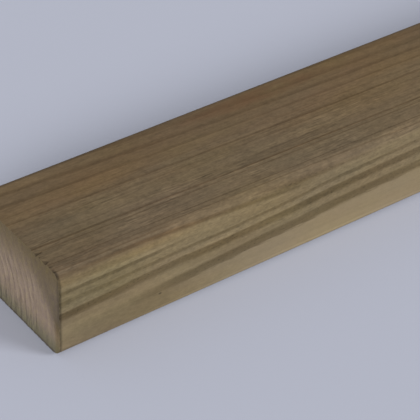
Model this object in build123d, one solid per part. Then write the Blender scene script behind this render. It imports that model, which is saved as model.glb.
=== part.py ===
"""A length of planed softwood, lying flat on one of its wide faces.

One solid, sawn square at both ends, with the four long arrises rounded over
and a short stretch of torn grain on the top edge of the near end.
The origin is on the underside, at the middle of the length and width.
+X runs along the grain, +Y across the wide face and +Z up. All sizes are in millimetres.
"""
from build123d import *
import os

# Section and length
length = 1800.0
width = 70.0
thickness = 45.0
arris_radius = 6.0

# Torn grain: splinters that the saw pulled out of the top edge at the near end.
# Each scar has a mouth across the edge, a depth down the end and a run along the grain.
tear_from_front = 3.4
scar_gap = 0.4
scar_lean = 0.35
scars = (
    {"mouth": 2.6, "depth": 1.5, "run": 3.8},
    {"mouth": 2.2, "depth": 0.6, "run": 2.0},
    {"mouth": 5.0, "depth": 1.2, "run": 3.0},
    {"mouth": 1.8, "depth": 0.6, "run": 2.4},
    {"mouth": 2.4, "depth": 1.6, "run": 4.5},
)

near_end = -length / 2
front_face = -width / 2


def plank_body():
    """The planed bar: a rounded rectangle drawn on the near end and run along the grain."""
    end_plane = Plane(origin=(near_end, 0, thickness / 2), x_dir=(0, 1, 0), z_dir=(1, 0, 0))
    section = end_plane * RectangleRounded(width, thickness, arris_radius)
    return extrude(section, amount=length)


def splinter_scar(from_front, mouth, depth, run):
    """A V groove that is deepest at the sawn end and runs out on the top face."""
    overreach = 2.0
    floor_line = Vector(run, 0, depth)
    outside = Vector(near_end, front_face + from_front, thickness - depth) - floor_line
    groove = Plane(origin=outside, x_dir=(0, 1, 0), z_dir=floor_line)
    wall_height = overreach * depth
    left = -overreach * scar_lean * mouth
    right = overreach * (1 - scar_lean) * mouth
    profile = groove * Polygon((0, 0), (right, wall_height), (left, wall_height), align=None)
    return extrude(profile, amount=2 * floor_line.length)


def torn_edge():
    """The scars side by side, from the front arris towards the middle of the edge."""
    grooves = []
    reach = tear_from_front
    for scar in scars:
        bottom = reach + scar_lean * scar["mouth"]
        grooves.append(splinter_scar(bottom, scar["mouth"], scar["depth"], scar["run"]))
        reach += scar["mouth"] + scar_gap
    return grooves


def make_plank():
    """The finished plank as one solid."""
    plank = plank_body()
    for groove in torn_edge():
        plank -= groove
    return plank


os.makedirs("parts", exist_ok=True)
plank = make_plank()
plank.label = "plank"
export_step(plank, "parts/plank.step")
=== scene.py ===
"""A length of planed, pressure-treated softwood lying flat on a plain pale floor.

Sizes here are in millimetres, measured from the near sawn end (x), the front narrow
face (y) and the underside (z). They become metres in the model's frame at the end.
"""
import math
import bpy
import numpy as np
from mathutils import Matrix, Vector


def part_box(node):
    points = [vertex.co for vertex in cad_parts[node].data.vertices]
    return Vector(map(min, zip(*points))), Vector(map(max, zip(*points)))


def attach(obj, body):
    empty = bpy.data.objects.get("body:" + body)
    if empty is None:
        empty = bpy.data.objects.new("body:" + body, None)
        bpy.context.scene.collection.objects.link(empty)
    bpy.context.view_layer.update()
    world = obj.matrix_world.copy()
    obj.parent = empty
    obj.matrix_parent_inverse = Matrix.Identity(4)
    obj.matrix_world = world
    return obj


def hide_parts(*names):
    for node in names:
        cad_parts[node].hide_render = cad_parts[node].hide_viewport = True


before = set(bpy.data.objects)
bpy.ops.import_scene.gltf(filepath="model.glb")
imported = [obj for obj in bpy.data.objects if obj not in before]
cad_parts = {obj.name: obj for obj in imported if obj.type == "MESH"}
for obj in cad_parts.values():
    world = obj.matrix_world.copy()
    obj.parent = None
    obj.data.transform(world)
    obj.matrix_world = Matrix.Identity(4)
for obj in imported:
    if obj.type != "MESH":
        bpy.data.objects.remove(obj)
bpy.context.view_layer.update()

MM = 0.001
low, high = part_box("plank")
length = (high[0] - low[0]) / MM
width = (high[1] - low[1]) / MM
thickness = (high[2] - low[2]) / MM

# Rounded arrises and torn grain, as in the solid. Each scar has a mouth across the edge,
# a depth down the end and a run along the grain.
arris_radius = 6.0
tear_from_front = 3.4
scar_gap = 0.4
scar_lean = 0.35
scars = (
    {"mouth": 2.6, "depth": 1.5, "run": 3.8},
    {"mouth": 2.2, "depth": 0.6, "run": 2.0},
    {"mouth": 5.0, "depth": 1.2, "run": 3.0},
    {"mouth": 1.8, "depth": 0.6, "run": 2.4},
    {"mouth": 2.4, "depth": 1.6, "run": 4.5},
)

# The pith runs outside the section, behind the back face, and wanders along the grain.
# Below its height the rings are flatter than circles.
pith_from_front = 80.0
pith_height = 8.0
pith_wander = 9.8
pith_wander_length = 1500.0
flatter_below = 0.3

# Late wood, from the pith outwards: where each dark line starts and ends, how soft its
# inner and outer sides are, and how dark it is. The first four are distances in radius.
late_wood = (
    (12.2, 12.9, 1.2, 0.4, 0.50),
    (16.6, 17.4, 1.2, 0.4, 0.55),
    (21.2, 21.9, 1.4, 0.4, 0.50),
    (25.1, 25.9, 1.4, 0.4, 0.55),
    (28.8, 29.8, 1.6, 0.5, 0.50),
    (32.7, 33.9, 1.8, 0.5, 0.60),
    (36.6, 37.9, 2.0, 0.6, 0.60),
    (40.9, 42.1, 1.8, 0.6, 0.70),
    (45.6, 46.6, 1.6, 0.5, 0.75),
    (50.2, 51.0, 1.3, 0.5, 0.45),
    (53.7, 54.6, 1.2, 0.4, 0.85),
    (57.3, 58.0, 1.1, 0.4, 0.45),
    (59.4, 60.0, 0.9, 0.4, 0.25),
    (65.3, 65.9, 1.0, 0.4, 0.25),
    (69.4, 70.3, 1.0, 0.35, 1.0),
    (71.9, 72.5, 0.8, 0.3, 0.75),
    (80.45, 80.90, 0.10, 0.10, 0.15),
    (82.32, 82.78, 0.35, 0.25, 0.66),
    (82.90, 83.62, 0.15, 0.15, 0.15),
    (87.4, 88.0, 0.5, 0.3, 0.45),
    (89.3, 89.9, 0.5, 0.3, 0.60),
    (91.4, 92.2, 0.5, 0.3, 0.45),
    (93.6, 94.2, 0.5, 0.3, 0.50),
)

# Four lines of the front face show only in part, each with the same five numbers and the
# places, in mm, between which it fades in or out. The inner one starts some way from the
# near end, and dips there, except near the top. The thick one ends at the arris, but for
# a trace. The outer one is lost along the grain, and further on one runs along the arris.
inner_line = (80.04, 80.42, 0.08, 0.20, 0.85)
inner_line_starts = (30.0, 72.0)
inner_line_stays_above = (30.0, 40.0)
inner_line_dip = 2.1
inner_line_dips = (105.0, 50.0)
inner_line_dips_below = (32.0, 24.0)
thick_line = (80.92, 81.66, 0.45, 0.25, 0.95)
thick_line_fades = (44.5, 42.5)
thick_line_trace = 0.15
outer_line = (83.62, 84.15, 0.35, 0.15, 0.75)
outer_line_fades = (76.0, 44.0)
arris_line = (84.05, 85.00, 0.90, 0.50, 0.95)
arris_line_starts = (96.0, 125.0)
arris_line_above = (37.0, 41.0)

# How high the growth rings wave, in the long and in the short waves
ring_wave_heights = (0.1, 0.25)

# The grain above the middle of the front face turns up towards the near end: how far,
# and between which places along the grain, in height and across
lift_height = 1.5
lift_along = (48.0, 4.0)
lift_upward = (25.0, 31.0)
lift_across = (11.0, 5.0)

# Where the lines of the front face sag: place along the grain, half length and depth.
# They don't sag near the top.
line_sags = (
    (12.0, 32.0, 0.6),
    (103.0, 42.0, 0.9),
)
sags_below = (39.0, 33.0)

# Ragged inner sides of the dark lines: how ragged nearer the pith and on the front face,
# and the ring radii between which that changes
raggedness = (0.35, 0.12)
ragged_radii = (74.0, 80.0)

# A dark line along the front arris: its height, where it starts to slant down, its slope,
# how ragged it is, its half width from faint to dark, where it ends, and how dark it is
# between two places near its start. The height is counted on over the arris, as it looks
# from the front and above.
arris_stripe_height = 44.7
arris_stripe_level = 42.0
arris_stripe_slope = 0.07
arris_stripe_ragged = 0.8
arris_stripe_width = (2.3, 0.3)
arris_stripe_ends = (145.0, 118.0)
arris_stripe_darkens = (10.0, 40.0, 0.42, 0.65)

# Marks on the front face: place along the grain and in height, half sizes, brightness
front_marks = (
    (34.0, 9.5, 42.0, 8.0, -0.18),
    (52.0, 14.5, 26.0, 3.5, -0.08),
    (55.0, 19.8, 26.0, 2.4, 0.12),
    (95.0, 26.0, 45.0, 4.0, 0.14),
    (28.0, 37.2, 44.0, 1.5, 0.15),
    (16.0, 39.8, 24.0, 1.6, -0.20),
    (158.0, 34.4, 30.0, 1.8, -0.12),
    # Painted light: the next mark brightens the lower front arris, standing in for light bounced
    # up from the floor
    (150.0, 3.0, 150.0, 2.9, 0.50),
    (150.0, 6.5, 80.0, 3.5, 0.07),
    (51.6, 11.9, 1.1, 0.7, -0.4),
)

# Marks on the top face: place along the grain and across, half sizes, brightness
top_marks = (
    (128.0, 20.5, 50.0, 3.0, -0.20),
    (155.0, 25.5, 45.0, 3.0, 0.14),
    (170.0, 35.0, 40.0, 4.0, -0.10),
    (60.0, 21.5, 50.0, 1.4, 0.10),
    (18.0, 62.5, 24.0, 3.5, 0.17),
)

# A reddish stain near the back of the top face: its middle, half sizes and strength
stain_middle = (149.0, 60.0)
stain_size = (54.0, 6.0)
stain_strength = 0.5

# Colours as the screen shows them, red, green and blue from 0 to 255. Early wood is the
# light wood between the dark lines, and late wood is the dark lines.
front_early_wood = (130, 114, 85)
front_late_wood = (92, 77, 49)
top_early_wood = (115, 99, 76)
top_early_wood_at_back = (116, 96, 70)
top_late_wood = (84, 65, 42)
stain_colour = (105, 74, 52)
end_grain_colour = (155, 136, 117)
floor_colour = (195, 199, 215)

# Shades over parts of the near end, as shares of red, green and blue that they let through. The
# foot's is partly a damper, greener colour and partly painted contact shade.
end_top_shade = (0.54, 0.53, 0.38, 1.0)
end_front_shade = (0.52, 0.53, 0.48, 1.0)
end_foot_damp_and_shade = (0.58, 0.69, 0.61, 1.0)
# Painted contact shadow: a thin dark line along the near end's bottom edge, where it meets the
# floor
end_foot_painted_contact_shadow = (0.64, 0.60, 0.70, 1.0)
end_corner_shade = (0.93, 0.88, 0.70, 1.0)

# The front shade is a wedge that rises towards the back at this slope, with the front
# corner at a share of its strength, and most of it gives way to the top shade. The
# borders of the top and front shades, the painted contact shadow along the foot and the
# corner shade are as ragged as this, in mm.
wedge_slope = 1.29
front_corner_strength = 0.4
front_gives_way = 0.92
shade_raggedness = {"top": 6, "front": 8, "foot contact shadow": 0.8, "corner": 2}

# Kinds of noise: the size of their marks along x, y and z, and a seed. Where the usual
# detail and roughness don't fit, these follow: how many finer layers there are, and how
# strong each is beside the last.
noise_kinds = {
    "long waves": ((55, 60, 60), 1),
    "short waves": ((15, 30, 30), 2),
    "spikes": ((9, 0.9, 0.9), 3, 3.0),
    "fibres": ((30, 0.9, 0.9), 4),
    "fine fibres": ((7, 0.45, 0.45), 5, 1.0),
    "patches": ((70, 22, 22), 6),
    "drift": ((260, 60, 60), 7, 1.0),
    "uneven lines": ((38, 9, 9), 8),
    "hue": ((45, 14, 14), 9),
    "pores": ((0.5, 0.6, 0.6), 10),
    "blotches": ((30, 7, 9), 11),
    "dashes": ((5.5, 0.5, 0.5), 12, 1.0),
    "torn zones": ((26, 7, 7), 13, 1.0),
    "planing lines": ((110, 1.6, 1.6), 14, 1.0),
    "ripples": ((6, 0.65, 0.65), 15, 0.0),
    "stain": ((16, 7, 7), 16),
    "streaks": ((0.8, 7, 1), 17),
    "specks": ((1.8, 0.6, 0.6), 18, 0.0),
    "mottle": ((5, 2.6, 2.6), 19, 2.0, 1.0),
    "end mottle": ((30, 2.4, 3.6), 20, 2.0, 0.8),
}

# How much the dark lines and each kind of noise change the brightness of the long faces.
# Where there are two numbers, the first is for the narrow faces and the second for the top.
line_contrast = (1.0, 0.7)
fibre_contrast = (0.07, 0.20)
fine_fibre_contrast = 0.13
mottle_contrast = 0.55
patch_contrast = 0.14
drift_contrast = 0.08
planing_contrast = (0.04, 0.22)
dash_contrast = 0.28
ripple_contrast = 0.45
speck_contrast = 0.3

# How much of the fibres' contrast is missing where the wood looks fresh, low on the front
fresh_calm = 0.6

# How strong the dark lines are on average, and how much that changes along them
mean_line_strength = 0.85
line_strength_change = 0.5

# How much brighter or darker the zones of the long faces are. The torn grain's darkening is
# partly the torn fibres' own colour and partly painted shade in the notches.
fresh_brighter = 0.17
near_dull_darker = 0.14
top_corner_darker = 0.12
top_back_darker = 0.09
edge_line_darker = 0.5
torn_colour_and_notch_shade = 0.4

# The back of the top is a little browner from one of these places across to the other,
# with a border as ragged as this, in mm
back_zone = (24, 46)
back_zone_raggedness = 14

# How far the zones and noises of the long faces shift hue and saturation
hue_shift = 0.014
near_dull_hue_shift = 0.006
patch_saturation = 0.2
fresh_paleness = 0.07
olive_saturation = 0.11

# Roughness of the planed wood, and how the fibres and late wood change it
mean_roughness = 0.8
fibre_roughness = 0.1
late_wood_roughness = -0.08

# Fine relief of the long faces, in mm
late_wood_height = 0.05
fibre_height = 0.06
fine_fibre_height = 0.04

# Rings on the sawn ends, as soft bands: where the first lies, how far apart they are,
# the shares of a ring between which its band rises, and the band's mean
first_ring = 17.4
ring_spacing = 4.1
band_rise = (0.25, 0.9)
mean_band = 0.4

# How much rings and noise change the sawn ends' brightness, hue, saturation and, in mm,
# fine relief
end_streak_contrast = 0.65
end_band_contrast = 0.2
end_mottle_contrast = 0.28
end_pore_contrast = 0.16
end_blotch_contrast = 0.12
end_front_edge_darker = 0.3
end_hue_shift = 0.04
end_saturation_shift = 0.3
end_streak_height = 0.08
end_pore_height = 0.08
end_band_height = 0.05

# Relief of the planed faces: the depths of the soft early wood and of the planer's waves,
# the lengths over which the waves turn along x, y and z, and how they drift along x
early_wood_depth = 0.05
planer_wave_depth = 0.04
planer_wave_lengths = (41.0, 19.0, 23.0)
planer_drift = 0.9
planer_drift_length = 97.0

# Relief of the sawn ends: the depths of the early wood and of the blade's arcs, how far
# in front of the plank and under it the blade's middle was, how much further in front at
# the far end, how closely the arcs follow each other, and how that drifts
sawn_early_wood_depth = 0.07
arc_depth = 0.05
blade_in_front = 60.0
blade_below = 95.0
far_blade_shift = 20.0
arc_rate = 1.9
arc_drift = 1.5
arc_drift_rate = 0.37

# Wear of the sawn edges: its mean, its change, and the waves of that change round the
# section, each with a share, a rate, a drift and the drift's rate. The far end starts
# further on in the same waves.
mean_wear = 0.14
wear_change = 0.07
wear_waves = (
    (1.0, 1.7, 2.0, 0.31),
    (0.7, 4.1, 1.3, 0.9),
)
far_wear_start = 31.0

# Mesh spacing. The steps along the grain hold at the places above them. The first ring of
# points behind the near edge moves to a share of its step, to make the worn edge narrow.
coarse_step = 0.8
fine_step = 0.4
arris_points = 16
fine_beyond_scars = 1.5
station_places = (0.0, 10.0, 40.0, 200.0, 500.0, 1770.0, 1800.0)
station_steps = (0.5, 0.5, 2.0, 5.0, 15.0, 20.0, 1.5)
worn_edge_share = 0.8

# The bake map: the length's first part and the rest are a strip each, with the ends above
map_split = 450.0
map_margin = 0.006
near_strip = (map_margin, 0.50)
far_strip = (0.512, 0.85)
end_strip = (0.862, 1 - map_margin)

# Light: how bright the sky makes a white surface, and two windows with their direction
# from the front towards the far end, their elevation, the angle that they fill, all in
# degrees, and how bright each makes a white surface that faces it
sky_level = 0.36
windows = {
    "right_window": (35, 29, 23, 0.455),
    "left_window": (-50, 30, 25, 0.49),
}


def pith_at(x):
    """The pith's height at a distance along the grain."""
    return pith_height + pith_wander * np.sin(2 * math.pi * x / pith_wander_length)


def ring_radius(x, y, z):
    """Distance from the pith, with the rings flattened below it."""
    rise = z - pith_at(x)
    rise = np.maximum(rise, flatter_below * rise)
    return np.hypot(pith_from_front - y, rise)


def soft_step(value, start, end):
    """0 at start and 1 at end, eased between."""
    share = np.clip((value - start) / (end - start), 0, 1)
    return share * share * (3 - 2 * share)


def wave(angle):
    """A sine that runs between 0 and 1."""
    return 0.5 + 0.5 * np.sin(angle)


def late_wood_at(radius):
    """How much of the hard, dark late wood there is at a radius, from 0 to 1."""
    total = np.zeros_like(radius)
    for start, end, soft_in, soft_out, darkness in late_wood:
        inside = soft_step(radius, start - soft_in / 2, start + soft_in / 2)
        outside = 1 - soft_step(radius, end - soft_out / 2, end + soft_out / 2)
        total = np.maximum(total, darkness * inside * outside)
    return total


def flat(start, end, outward, step):
    """Points along a flat of the section, without its last, and the way that they face."""
    count = max(1, round(math.dist(start, end) / step))
    share = np.arange(count)[:, None] / count
    points = (1 - share) * np.array(start) + share * np.array(end)
    return points, np.tile(np.array(outward, float), (count, 1))


def arris(centre, first_angle):
    """Points round a quarter-circle arris, without its last, and the way that they face."""
    angles = first_angle - np.arange(arris_points) / arris_points * math.pi / 2
    outward = np.column_stack((np.cos(angles), np.sin(angles)))
    return np.array(centre) + arris_radius * outward, outward


def section_outline():
    """The section from the middle of the underside, past the front, the top and the back.

    Returns the points, their outward directions and the four points in mid-arris.
    """
    near, far = arris_radius, width - arris_radius
    bottom, top = arris_radius, thickness - arris_radius
    middle = width / 2
    torn_width = sum(scar["mouth"] + scar_gap for scar in scars)
    torn = tear_from_front + torn_width + fine_beyond_scars
    down, front, up, back = (0, -1), (-1, 0), (0, 1), (1, 0)
    stretches = (
        flat((middle, 0), (torn, 0), down, coarse_step),
        flat((torn, 0), (near, 0), down, fine_step),
        arris((near, bottom), 1.5 * math.pi),
        flat((0, bottom), (0, top), front, coarse_step),
        arris((near, top), math.pi),
        flat((near, thickness), (torn, thickness), up, fine_step),
        flat((torn, thickness), (middle, thickness), up, coarse_step),
        flat((middle, thickness), (far, thickness), up, coarse_step),
        arris((far, top), 0.5 * math.pi),
        flat((width, top), (width, bottom), back, coarse_step),
        arris((far, bottom), 0.0),
        flat((far, 0), (middle, 0), down, coarse_step),
    )
    arris_stretches = (2, 4, 8, 10)
    starts = np.cumsum([0] + [len(points) for points, outward in stretches])
    corners = [starts[place] + arris_points // 2 for place in arris_stretches]
    points = np.concatenate([points for points, outward in stretches])
    outward = np.concatenate([outward for points, outward in stretches])
    return points, outward, corners


def stations():
    """Distances along the grain where the mesh has a ring of points."""
    places = [0.0]
    while places[-1] < length:
        step = np.interp(places[-1], station_places, station_steps)
        following = places[-1] + step
        if places[-1] < map_split <= following + step / 2:
            following = map_split
        places.append(following)
    places[-1] = length
    return np.array(places)


def scar_floor(x, y):
    """Height of the torn grain's surface; far above the plank where nothing is torn."""
    floor = np.full(np.broadcast(x, y).shape, 2 * thickness)
    reach = tear_from_front
    for scar in scars:
        bottom = reach + scar_lean * scar["mouth"]
        side = np.where(y < bottom, scar_lean, 1 - scar_lean) * scar["mouth"]
        wall = scar["depth"] * np.abs(y - bottom) / side
        floor = np.minimum(floor, thickness - scar["depth"] * (1 - x / scar["run"]) + wall)
        reach += scar["mouth"] + scar_gap
    return floor


def relief(x, y, z):
    """How far the planed surface lies inside the true section: early wood sinks a little."""
    early_wood = 1 - late_wood_at(ring_radius(x, y, z))
    along, across, upward = planer_wave_lengths
    drift = planer_drift * np.sin(x / planer_drift_length)
    waves = wave(x / along + drift + y / across + z / upward)
    return early_wood_depth * early_wood + planer_wave_depth * waves


def sawn_relief(y, z, blade_shift):
    """How far the sawn end lies inside the plank's length: rings, and the blade's arcs."""
    early_wood = 1 - late_wood_at(ring_radius(0.0, y, z))
    blade = np.hypot(y + blade_in_front + blade_shift, z + blade_below)
    arcs = wave(blade * arc_rate + arc_drift * np.sin(blade * arc_drift_rate))
    return sawn_early_wood_depth * early_wood + arc_depth * arcs


def edge_wear(distance_round, start):
    """How far the sawn edge is broken away, round the section."""
    place = distance_round + start
    uneven = 0
    for share, rate, drift, drift_rate in wear_waves:
        uneven = uneven + share * np.sin(place * rate + drift * np.sin(place * drift_rate))
    return mean_wear + wear_change * uneven


def cap_points(ring, outline, corners):
    """The sawn end's points: a grid between the four sides of its rim, and those sides."""
    count = len(ring)
    front_low, front_high, back_high, back_low = corners
    left = np.arange(front_low, front_high + 1)
    top = np.arange(front_high, back_high + 1)
    right = np.arange(back_high, back_low + 1)[::-1]
    bottom = np.arange(back_low, front_low + count + 1)[::-1] % count
    across = outline[bottom, 0]
    upward = outline[left, 1]
    u = ((across - across[0]) / (across[-1] - across[0]))[:, None, None]
    v = ((upward - upward[0]) / (upward[-1] - upward[0]))[None, :, None]
    low_side, high_side = ring[bottom][:, None], ring[top][:, None]
    left_side, right_side = ring[left][None], ring[right][None]
    blend = (1 - v) * low_side + v * high_side + (1 - u) * left_side + u * right_side
    blend -= (1 - u) * (1 - v) * ring[front_low] + u * v * ring[back_high]
    blend -= u * (1 - v) * ring[back_low] + (1 - u) * v * ring[front_high]
    rim = {"left": left, "top": top, "right": right, "bottom": bottom}
    return blend, rim


def cap_faces(shape, rim, ring_start, inner_start, flip):
    """Quads of a sawn end; its outer ring of points belongs to the long sides."""
    columns, rows = shape
    number = np.empty((columns, rows), int)
    inner = np.arange((columns - 2) * (rows - 2)).reshape(columns - 2, rows - 2)
    number[1:-1, 1:-1] = inner_start + inner
    number[0, :] = ring_start + rim["left"]
    number[-1, :] = ring_start + rim["right"]
    number[:, 0] = ring_start + rim["bottom"]
    number[:, -1] = ring_start + rim["top"]
    quads = np.stack((number[:-1, :-1], number[:-1, 1:], number[1:, 1:], number[1:, :-1]), -1)
    quads = quads.reshape(-1, 4)
    return quads[:, ::-1] if flip else quads


def side_points(xs, outline, outward, distance_round):
    """A ring of points round the section at each station, worn, torn and sawn."""
    x = xs[:, None]
    y, z = outline[:, 0][None], outline[:, 1][None]
    inset = relief(x, y, z)
    wear_near = edge_wear(distance_round[:-1], 0.0)
    wear_far = edge_wear(distance_round[:-1], far_wear_start)
    inset[0] += wear_near
    inset[-1] += wear_far
    ys = y - outward[:, 0] * inset
    zs = z - outward[:, 1] * inset
    zs = np.minimum(zs, scar_floor(x, ys))
    places = np.stack((np.broadcast_to(x, ys.shape), ys, zs), -1).copy()
    places[0, :, 0] += sawn_relief(ys[0], zs[0], 0.0)
    places[-1, :, 0] -= sawn_relief(ys[-1], zs[-1], far_blade_shift)
    places[1, :, 0] = np.maximum(places[1, :, 0] * worn_edge_share, wear_near)
    places[-2, :, 0] = np.minimum(places[-2, :, 0], length - wear_far)
    return places


def side_faces(rings, count):
    """Quads between each ring of points and the next."""
    first = np.arange(rings - 1)[:, None] * count
    start = first + np.arange(count)[None]
    after = first + (np.arange(count)[None] + 1) % count
    return np.stack((start, start + count, after + count, after), -1).reshape(-1, 4)


def plank_mesh():
    """The whole plank as one closed mesh with a map for baking."""
    outline, outward, corners = section_outline()
    following = np.roll(outline, -1, axis=0)
    steps_round = np.hypot(*(following - outline).T)
    distance_round = np.concatenate(([0], np.cumsum(steps_round)))
    xs = stations()
    places = side_points(xs, outline, outward, distance_round)
    rings, count = len(xs), len(outline)

    vertices = [places.reshape(-1, 3)]
    faces = [side_faces(rings, count)]
    caps = []
    next_number = rings * count
    for ring_index, blade_shift, inward in ((0, 0.0, 1), (rings - 1, far_blade_shift, -1)):
        grid, rim = cap_points(places[ring_index], outline, corners)
        inner = grid[1:-1, 1:-1].reshape(-1, 3)
        sawn = sawn_relief(inner[:, 1], inner[:, 2], blade_shift)
        inner[:, 0] = xs[ring_index] + inward * sawn
        quads = cap_faces(grid.shape[:2], rim, ring_index * count, next_number, inward < 0)
        vertices.append(inner)
        faces.append(quads)
        caps.append(quads)
        next_number += len(inner)

    vertices = np.concatenate(vertices)
    faces = np.concatenate(faces)
    in_frame = vertices * MM + np.array((low[0], low[1], low[2]))
    mesh = bpy.data.meshes.new("plank_timber")
    mesh.from_pydata(in_frame.tolist(), [], faces.tolist())
    mesh.update()
    add_bake_map(mesh, vertices, caps, distance_round, xs)
    mark_sharp_rims(mesh, rings, count)
    return mesh


def add_bake_map(mesh, vertices, caps, distance_round, xs):
    """A map that opens the long sides into two strips and lays the two ends above them."""
    stretches = len(distance_round) - 1
    steps = len(xs) - 1
    station = np.repeat(np.arange(steps), stretches)
    stretch = np.tile(np.arange(stretches), steps)
    corner_x = np.stack((xs[station], xs[station + 1], xs[station + 1], xs[station]), -1)
    round_a, round_b = distance_round[stretch], distance_round[stretch + 1]
    corner_s = np.stack((round_a, round_a, round_b, round_b), -1) / distance_round[-1]

    is_near = (xs[station] < map_split)[:, None]
    near_share = corner_x / map_split
    far_share = (corner_x - map_split) / (length - map_split)
    along = np.where(is_near, near_share, far_share)
    bottom = np.where(is_near, near_strip[0], far_strip[0])
    top = np.where(is_near, near_strip[1], far_strip[1])
    side_u = map_margin + along * (1 - 2 * map_margin)
    side_v = bottom + corner_s * (top - bottom)

    maps = [np.stack((side_u, side_v), -1).reshape(-1, 2)]
    end_scale = (end_strip[1] - end_strip[0]) / thickness
    for place, quads in enumerate(caps):
        corner = vertices[quads.reshape(-1)]
        left = map_margin + place * (width * end_scale + 2 * map_margin)
        end_u = left + corner[:, 1] * end_scale
        end_v = end_strip[0] + corner[:, 2] * end_scale
        maps.append(np.stack((end_u, end_v), -1))
    layer = mesh.uv_layers.new(name="OFBake")
    layer.data.foreach_set("uv", np.concatenate(maps).reshape(-1))


def mark_sharp_rims(mesh, rings, count):
    """Smooth shading, with a crease where each sawn end meets the long sides."""
    mesh.polygons.foreach_set("use_smooth", np.ones(len(mesh.polygons), bool))
    pairs = np.empty(len(mesh.edges) * 2, int)
    mesh.edges.foreach_get("vertices", pairs)
    pairs = pairs.reshape(-1, 2)
    near_rim = (pairs < count).all(1)
    last = (rings - 1) * count
    far_rim = ((pairs >= last) & (pairs < last + count)).all(1)
    sharp = mesh.attributes.new("sharp_edge", "BOOLEAN", "EDGE")
    sharp.data.foreach_set("value", near_rim | far_rim)


def srgb(red, green, blue):
    """A colour as a screen shows it, 0 to 255, in the linear values that a shader takes."""
    def linear(value):
        share = value / 255
        return share / 12.92 if share <= 0.04045 else ((share + 0.055) / 1.055) ** 2.4
    return (linear(red), linear(green), linear(blue), 1.0)


class Wire:
    """A number on its way through a material, so that a formula can be written as one."""

    def __init__(self, shader, socket):
        self.shader = shader
        self.socket = socket

    def __add__(self, other):
        return self.shader.math("ADD", self, other)

    def __sub__(self, other):
        return self.shader.math("SUBTRACT", self, other)

    def __rsub__(self, other):
        return self.shader.math("SUBTRACT", other, self)

    def __mul__(self, other):
        return self.shader.math("MULTIPLY", self, other)

    __radd__ = __add__
    __rmul__ = __mul__


class Shader:
    """One material's nodes, with a short call for each kind that it needs."""

    seed_steps = (17.3, 5.1, 9.7)
    noise_middle = 0.5
    noise_spread = 1.6

    def __init__(self, name):
        self.material = bpy.data.materials.new(name)
        self.material.use_nodes = True
        self.tree = self.material.node_tree
        self.surface = self.tree.nodes["Principled BSDF"]

    def feed(self, socket, value):
        """Join a wire to a socket, or set the socket to a number or colour."""
        if isinstance(value, Wire):
            self.tree.links.new(value.socket, socket)
        else:
            socket.default_value = value

    def math(self, operation, *values):
        """One step of arithmetic."""
        node = self.tree.nodes.new("ShaderNodeMath")
        node.operation = operation
        for socket, value in zip(node.inputs, values):
            self.feed(socket, value)
        return Wire(self, node.outputs[0])

    def ease(self, value, start, end, low_value=0.0, high_value=1.0):
        """low_value where value is at start, high_value where it is at end, eased between."""
        node = self.tree.nodes.new("ShaderNodeMapRange")
        node.interpolation_type = "SMOOTHSTEP"
        for socket, number in zip(node.inputs, (value, start, end, low_value, high_value)):
            self.feed(socket, number)
        return Wire(self, node.outputs[0])

    def mix(self, share, pair):
        """The pair's first number where the share is 0 and its second where it is 1."""
        return self.ease(share, 0, 1, *pair)

    def noise(self, place, size, seed, detail=2.0, roughness=0.5):
        """Noise about 0, mostly within -0.5 to 0.5, with marks of the given size."""
        mapping = self.tree.nodes.new("ShaderNodeMapping")
        self.feed(mapping.inputs["Vector"], place)
        mapping.inputs["Location"].default_value = [seed * step for step in self.seed_steps]
        mapping.inputs["Scale"].default_value = [1 / side for side in size]
        node = self.tree.nodes.new("ShaderNodeTexNoise")
        node.inputs["Scale"].default_value = 1.0
        node.inputs["Detail"].default_value = detail
        node.inputs["Roughness"].default_value = roughness
        self.tree.links.new(mapping.outputs[0], node.inputs["Vector"])
        return (Wire(self, node.outputs[0]) - self.noise_middle) * self.noise_spread

    def blend(self, share, first, second, kind="MIX"):
        """A colour between two others, or one put over the other."""
        node = self.tree.nodes.new("ShaderNodeMix")
        node.data_type = "RGBA"
        node.blend_type = kind
        share_input, first_input, second_input, colour_output = 0, 6, 7, 2
        self.feed(node.inputs[share_input], share)
        self.feed(node.inputs[first_input], first)
        self.feed(node.inputs[second_input], second)
        return Wire(self, node.outputs[colour_output])

    def tint(self, colour, hue, saturation, value):
        """A colour with its hue, saturation and brightness shifted."""
        node = self.tree.nodes.new("ShaderNodeHueSaturation")
        self.feed(node.inputs["Hue"], hue)
        self.feed(node.inputs["Saturation"], saturation)
        self.feed(node.inputs["Value"], value)
        self.feed(node.inputs["Color"], colour)
        return Wire(self, node.outputs[0])

    def place(self):
        """The point's place in millimetres, as one wire and as x, y and z."""
        coordinates = self.tree.nodes.new("ShaderNodeTexCoord")
        mapping = self.tree.nodes.new("ShaderNodeMapping")
        mapping.inputs["Location"].default_value = [-corner / MM for corner in low]
        mapping.inputs["Scale"].default_value = (1 / MM, 1 / MM, 1 / MM)
        self.tree.links.new(coordinates.outputs["Object"], mapping.inputs["Vector"])
        return Wire(self, mapping.outputs[0]), *self.split(mapping.outputs[0])

    def facing(self):
        """The true surface direction's x, y and z."""
        geometry = self.tree.nodes.new("ShaderNodeNewGeometry")
        return self.split(geometry.outputs["True Normal"])

    def split(self, vector):
        """A vector's x, y and z."""
        node = self.tree.nodes.new("ShaderNodeSeparateXYZ")
        self.tree.links.new(vector, node.inputs[0])
        return [Wire(self, output) for output in node.outputs]

    def spot(self, offsets, sizes):
        """1 at the middle of an oval patch and 0 at its rim."""
        terms = []
        for offset, size in zip(offsets, sizes):
            terms.append(self.math("POWER", offset * (1 / size), 2.0))
        return self.ease(sum(terms[1:], terms[0]), 1.0, 0.0)


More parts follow.
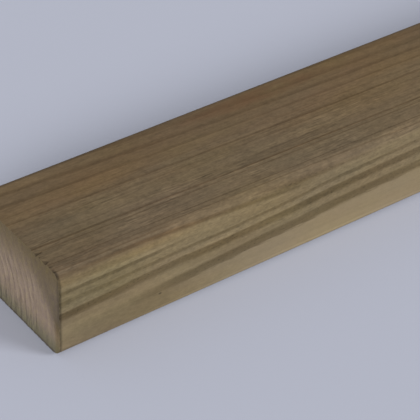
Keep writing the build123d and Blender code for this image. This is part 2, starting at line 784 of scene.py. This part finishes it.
class Grain:
    """What the long faces and the sawn ends share: place, direction, rings and fibres."""

    def __init__(self, s):
        self.s = s
        self.place, self.x, self.y, self.z = s.place()
        self.facing_x, self.facing_y, self.facing_z = s.facing()
        turn = s.math("SINE", self.x * (2 * math.pi / pith_wander_length))
        self.pith = turn * pith_wander + pith_height
        self.radius, inner_radius = self.distance_from_pith()
        self.late = self.dark_lines(inner_radius)
        self.fibres = self.noise("fibres")
        self.fine_fibres = self.noise("fine fibres")
        self.patches = self.noise("patches")

    def noise(self, kind):
        """One of the kinds of noise, fixed in the wood."""
        return self.s.noise(self.place, *noise_kinds[kind])

    def distance_from_pith(self):
        """The ring radius with the grain's waves and lift, and the same for the inner line."""
        s = self.s
        long_waves = self.noise("long waves") * ring_wave_heights[0]
        short_waves = self.noise("short waves") * ring_wave_heights[1]
        lift = s.ease(self.x, *lift_along) * s.ease(self.z, *lift_upward)
        lift = lift * s.ease(self.y, *lift_across)
        rise = self.z - self.pith + (long_waves + short_waves) - lift * lift_height
        for along, half_length, depth in line_sags:
            sag = s.spot((self.x - along,), (half_length,)) * s.ease(self.z, *sags_below)
            rise = rise + sag * depth
        dip = s.ease(self.x, *inner_line_dips) * s.ease(self.z, *inner_line_dips_below)
        return self.ring(rise), self.ring(rise + dip * inner_line_dip)

    def ring(self, rise):
        """The ring radius at a height over the pith, with the rings flattened below it."""
        s = self.s
        rise = s.math("MAXIMUM", rise, rise * flatter_below)
        across = pith_from_front - self.y
        return s.math("SQRT", s.math("MULTIPLY_ADD", rise, rise, across * across))

    def dark_lines(self, inner_radius):
        """How much dark late wood there is, with ragged inner sides to its lines."""
        s = self.s
        spikes = self.noise("spikes") * s.ease(self.radius, *ragged_radii, *raggedness)

        def dark_line(radius, start, end, soft_in, soft_out, darkness):
            rising = s.ease(radius + spikes, start - soft_in / 2, start + soft_in / 2)
            falling = s.ease(radius, end + soft_out / 2, end - soft_out / 2, 0, darkness)
            return rising * falling

        started = s.ease(self.x, *inner_line_starts)
        inner_part = s.math("MAXIMUM", started, s.ease(self.z, *inner_line_stays_above))
        thick_part = s.ease(self.z, *thick_line_fades, thick_line_trace, 1.0)
        outer_part = s.ease(self.x, *outer_line_fades)
        arris_part = s.ease(self.z, *arris_line_above) * s.ease(self.x, *arris_line_starts)
        lines = [dark_line(self.radius, *line) for line in late_wood]
        lines.append(dark_line(inner_radius, *inner_line) * inner_part)
        lines.append(dark_line(self.radius, *thick_line) * thick_part)
        lines.append(dark_line(self.radius, *outer_line) * outer_part)
        lines.append(dark_line(self.radius, *arris_line) * arris_part)
        late = lines[0]
        for line in lines[1:]:
            late = s.math("MAXIMUM", late, line)
        return late

    def arris_stripe(self):
        """A dark line that slants down the front arris from the near end."""
        s = self.s
        slanting = s.math("MAXIMUM", self.x - arris_stripe_level, 0.0)
        height = arris_stripe_height - slanting * arris_stripe_slope
        ragged = self.fibres * arris_stripe_ragged
        away = s.math("ABSOLUTE", self.z + self.y - height + ragged)
        ending = s.ease(self.x, *arris_stripe_ends)
        return s.ease(away, *arris_stripe_width) * ending * s.ease(self.x, *arris_stripe_darkens)


class LongFaces:
    """The planed faces along the grain. Zones ease from their first place to their second."""

    def __init__(self, s, grain):
        self.s = s
        self.grain = grain
        self.x, self.y, self.z = grain.x, grain.y, grain.z
        self.top = s.ease(grain.facing_z, 0.05, 0.7)
        self.front = s.ease(grain.facing_y, -0.6, -0.95)
        self.fresh = s.ease(self.z - grain.pith, 6, 2) * self.front * s.ease(self.x, 50, 125)
        dull_band = s.ease(self.z, 23.5, 27) * s.ease(self.z, 40, 37)
        self.near_dull = dull_band * self.front * s.ease(self.x, 60, 20)

    def tone(self):
        """Light early wood with dark lines, both a little different on the top."""
        s, grain = self.s, self.grain
        ragged = grain.patches * back_zone_raggedness
        towards_back = s.ease(self.y + ragged, *back_zone)
        top_light = s.blend(towards_back, srgb(*top_early_wood), srgb(*top_early_wood_at_back))
        light = s.blend(self.top, srgb(*front_early_wood), top_light)
        dark = s.blend(self.top, srgb(*front_late_wood), srgb(*top_late_wood))
        uneven = grain.noise("uneven lines") * line_strength_change + mean_line_strength
        lines = grain.late * uneven * s.mix(self.top, line_contrast)
        lines = s.math("MAXIMUM", lines, grain.arris_stripe())
        return s.blend(lines, light, dark)

    def texture(self):
        """The brightness of fibres, planing marks, torn fibres and specks, about 1."""
        s, grain = self.s, self.grain
        planing_lines = grain.noise("planing lines")
        ripples = grain.noise("ripples")
        specks = s.ease(grain.noise("specks"), 0.26, 0.40)
        dashes = s.ease(grain.noise("dashes"), 0.12, 0.34)
        torn_zones = s.ease(grain.noise("torn zones"), -0.05, 0.2)
        torn_zones = torn_zones * s.ease(self.y, 40, 30) * self.top

        calm_fresh = 1 - self.fresh * fresh_calm
        calm_foot = calm_fresh * s.ease(self.z, 20, 26, 0.6, 1.0)
        calm_back = s.ease(self.y, 36, 48, 1, 0.75)
        fewer_at_back = s.ease(self.y, 32, 44, 1, 0.5)
        fibres = grain.fibres * s.mix(self.top, fibre_contrast)
        fibres = fibres + grain.fine_fibres * fine_fibre_contrast
        fibres = fibres + grain.noise("mottle") * mottle_contrast
        value = fibres * calm_foot * calm_back
        value = value + grain.patches * patch_contrast
        value = value + grain.noise("drift") * drift_contrast + 1.0
        value = value + planing_lines * s.mix(self.top, planing_contrast) * fewer_at_back
        value = value + dashes * torn_zones * dash_contrast
        value = value + ripples * torn_zones * ripple_contrast
        return value - specks * grain.late * self.front * speck_contrast

    def change(self):
        """How much brighter or darker some places are: dull areas, sawn edges, torn grain that
        is partly painted shade, and marks, one of them a painted highlight.
        """
        s, x, y, z = self.s, self.x, self.y, self.z
        near_corner_dull = s.ease(x, 50, 20) * s.ease(y, 42, 32)
        back_dull = s.ease(y, 46, 52)
        top_dull = near_corner_dull * top_corner_darker + back_dull * top_back_darker
        around_arris = s.ease(z + y, 42, 44) * s.ease(y, 7, 4)
        edge_line = s.ease(x, 1.8, 0.5) * s.math("MAXIMUM", self.front, around_arris)
        # Torn grain at the near top edge, darker: partly the torn fibres' own colour, partly
        # painted shade in the notches
        torn_along = s.ease(x, 5.5, 4) * s.ease(z, 44.9, 44.5)
        torn = torn_along * s.ease(y, 5.5, 7) * s.ease(y, 26, 22)
        change = self.fresh * fresh_brighter - self.near_dull * near_dull_darker
        change = change - top_dull * self.top
        change = change - edge_line * edge_line_darker - torn * torn_colour_and_notch_shade
        for marks, face, across in ((front_marks, self.front, z), (top_marks, self.top, y)):
            for along, middle, half_length, half_width, brightness in marks:
                mark = s.spot((x - along, across - middle), (half_length, half_width))
                change = change + mark * face * brightness
        return change

    def stain(self):
        """How much of the reddish stain there is, from 0 to 1."""
        s, grain = self.s, self.grain
        offsets = (self.x - stain_middle[0], self.y - stain_middle[1])
        stain = s.spot(offsets, stain_size) * self.top
        return stain * s.ease(grain.noise("stain"), -0.5, 0.2)

    def colour(self):
        """The tone with its texture, marks and shifts of hue, and the stain over it."""
        s, grain = self.s, self.grain
        olive = s.ease(self.x, 75, 40) * s.ease(self.z, 36.5, 40) * self.front
        hue = grain.noise("hue") * hue_shift + self.near_dull * near_dull_hue_shift + 0.5
        saturation = grain.patches * patch_saturation + 1.0
        saturation = saturation - self.fresh * fresh_paleness + olive * olive_saturation
        value = self.texture() * (self.change() + 1.0)
        colour = s.tint(self.tone(), hue, saturation, value)
        return s.blend(self.stain() * stain_strength, colour, srgb(*stain_colour))


class SawnEnds:
    """The sawn ends: rings as soft bands. The near one is dark along its top, front and foot; at
    the foot that is partly painted contact shade.
    """

    def __init__(self, s, grain):
        self.s = s
        self.grain = grain
        self.y, self.z = grain.y, grain.z
        season = s.math("FRACT", (grain.radius - first_ring) * (1 / ring_spacing))
        self.bands = s.ease(season, *band_rise) - mean_band
        round_ring = s.tree.nodes.new("ShaderNodeCombineXYZ")
        s.feed(round_ring.inputs[0], grain.radius)
        s.feed(round_ring.inputs[1], self.z)
        self.streaks = s.noise(Wire(s, round_ring.outputs[0]), *noise_kinds["streaks"])
        self.pores = grain.noise("pores")
        self.blotches = grain.noise("blotches")
        self.mottle = grain.noise("end mottle")

    def tone(self):
        """The end grain's colour with its rings, streaks, pores and blotches."""
        s = self.s
        lined = s.ease(self.z, 38, 25, 0.3, 1.0) * s.ease(self.grain.radius, 66, 60, 0.35, 1.0)
        rings = self.streaks * end_streak_contrast - self.bands * end_band_contrast
        value = rings * lined + 1.0
        value = value + self.mottle * end_mottle_contrast
        value = value + self.pores * end_pore_contrast + self.blotches * end_blotch_contrast
        front_edge = s.ease(self.y, 2.6, 0.9) * s.ease(self.z, 14, 22)
        value = value * (1 - front_edge * end_front_edge_darker)
        hue = self.mottle * end_hue_shift + 0.5
        saturation = self.mottle * end_saturation_shift + 1.0
        return s.tint(srgb(*end_grain_colour), hue, saturation, value)

    def shades(self):
        """Where the near end is darker, each with the shade that lies over it."""
        s, y, z = self.s, self.y, self.z
        upper = s.ease(z + self.blotches * shade_raggedness["top"], 22, 46)
        ragged = self.blotches * shade_raggedness["front"]
        wedge = s.ease(z - y * wedge_slope + ragged, 2, 20)
        front_corner = s.ease(y, 7, 1) * s.ease(z, 8, 22)
        front = s.math("MINIMUM", wedge + front_corner * front_corner_strength, 1.0)
        front = front * (1 - upper * front_gives_way)
        # The foot, greener and darker: partly a damp colour and partly painted contact shade
        foot = s.ease(z, 14, 1)
        # Painted contact shadow: a thin dark line along the bottom edge of the near end
        ragged = self.mottle * shade_raggedness["foot contact shadow"]
        foot_contact_shadow = s.ease(z + ragged, 2.2, 0.7) * s.ease(y, 1, 5)
        ragged = self.mottle * shade_raggedness["corner"]
        low_corner = s.ease(y + ragged, 5, 2) * s.ease(z, 22, 15)
        return (
            (upper, end_top_shade),
            (front, end_front_shade),
            (foot, end_foot_damp_and_shade),
            (foot_contact_shadow, end_foot_painted_contact_shadow),
            (low_corner, end_corner_shade),
        )

    def colour(self):
        """The tone, with the shades on the near end only."""
        near = self.s.ease(self.grain.x, 900, 100)
        colour = self.tone()
        for share, shade in self.shades():
            colour = self.s.blend(share * near, colour, shade, "MULTIPLY")
        return colour

    def height(self):
        """Fine relief of the cut fibres, in mm."""
        height = self.streaks * end_streak_height + self.pores * end_pore_height
        return height - self.bands * end_band_height


def wood_material():
    """Treated softwood: growth rings about the pith, fibres along the grain, sawn end grain."""
    s = Shader("treated_softwood")
    grain = Grain(s)
    sawn = SawnEnds(s, grain)
    on_end = s.ease(s.math("ABSOLUTE", grain.facing_x), 0.5, 0.8)
    colour = s.blend(on_end, LongFaces(s, grain).colour(), sawn.colour())
    s.feed(s.surface.inputs["Base Color"], colour)
    roughness = grain.fibres * fibre_roughness + grain.late * late_wood_roughness
    s.feed(s.surface.inputs["Roughness"], roughness + mean_roughness)
    s.surface.inputs["Specular IOR Level"].default_value = 0.2

    height = grain.late * late_wood_height + grain.fibres * fibre_height
    height = height + grain.fine_fibres * fine_fibre_height
    bump = s.tree.nodes.new("ShaderNodeBump")
    bump.inputs["Distance"].default_value = MM
    s.feed(bump.inputs["Height"], height + on_end * (sawn.height() - height))
    s.tree.links.new(bump.outputs[0], s.surface.inputs["Normal"])
    return s.material


def make_plank():
    """The plank, in the place of the plain solid."""
    plank = bpy.data.objects.new("plank_timber", plank_mesh())
    bpy.context.scene.collection.objects.link(plank)
    plank.data.materials.append(wood_material())
    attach(plank, "root")
    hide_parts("plank")


def make_floor():
    """A plain pale floor, in metres, large enough to fill every view."""
    half = 9.0
    mesh = bpy.data.meshes.new("floor")
    corners = [(-half, -half, 0), (half, -half, 0), (half, half, 0), (-half, half, 0)]
    mesh.from_pydata(corners, [], [(0, 1, 2, 3)])
    floor = bpy.data.objects.new("floor", mesh)
    bpy.context.scene.collection.objects.link(floor)
    s = Shader("pale_floor")
    s.surface.inputs["Base Color"].default_value = srgb(*floor_colour)
    s.surface.inputs["Roughness"].default_value = 0.95
    s.surface.inputs["Specular IOR Level"].default_value = 0.1
    mesh.materials.append(s.material)


def add_window(name, towards_far_end, elevation, spread, level):
    """A wide soft light, as bright all over the floor."""
    azimuth, height = math.radians(towards_far_end), math.radians(elevation)
    direction = Vector((
        math.sin(azimuth) * math.cos(height),
        -math.cos(azimuth) * math.cos(height),
        math.sin(height),
    ))
    window = bpy.data.lights.new(name, "SUN")
    window.angle = math.radians(spread)
    window.energy = math.pi * level
    lamp = bpy.data.objects.new(name, window)
    lamp.rotation_euler = direction.to_track_quat("Z", "Y").to_euler()
    bpy.context.scene.collection.objects.link(lamp)


def make_light():
    """Even light from all round, and two wide soft windows on the front side."""
    world = bpy.data.worlds.new("studio")
    bpy.context.scene.world = world
    world.use_nodes = True
    background = world.node_tree.nodes["Background"]
    background.inputs["Color"].default_value = (1.0, 1.0, 1.0, 1.0)
    background.inputs["Strength"].default_value = sky_level
    for name, settings in windows.items():
        add_window(name, *settings)


def make_camera():
    """The photograph's viewpoint, fitted to the plank's edges.

    The focal length is in the photograph's pixels, and the camera's place is in
    millimetres from the plank's near front lower corner.
    """
    image_width = 420
    focal_length = 1919.0
    yaw, pitch, roll = (math.radians(angle) for angle in (51.92, 37.28, 2.51))
    from_corner = (-325.25, -513.2, 542.7)
    forward = Vector((
        math.cos(pitch) * math.cos(yaw),
        math.cos(pitch) * math.sin(yaw),
        -math.sin(pitch),
    ))
    level = forward.cross(Vector((0, 0, 1))).normalized()
    raised = level.cross(forward)
    right = math.cos(roll) * level + math.sin(roll) * raised
    up = -math.sin(roll) * level + math.cos(roll) * raised
    lens = bpy.data.cameras.new("viewpoint")
    lens.sensor_width = 36.0
    lens.lens = lens.sensor_width * focal_length / image_width
    lens.clip_start = 0.05
    camera = bpy.data.objects.new("viewpoint", lens)
    turn = Matrix((right, up, -forward)).transposed().to_4x4()
    corner = Vector(low)
    camera.matrix_world = Matrix.Translation(corner + Vector(from_corner) * MM) @ turn
    bpy.context.scene.collection.objects.link(camera)
    bpy.context.scene.camera = camera


make_plank()
make_floor()
make_light()
make_camera()
bpy.context.scene.view_settings.view_transform = "Standard"
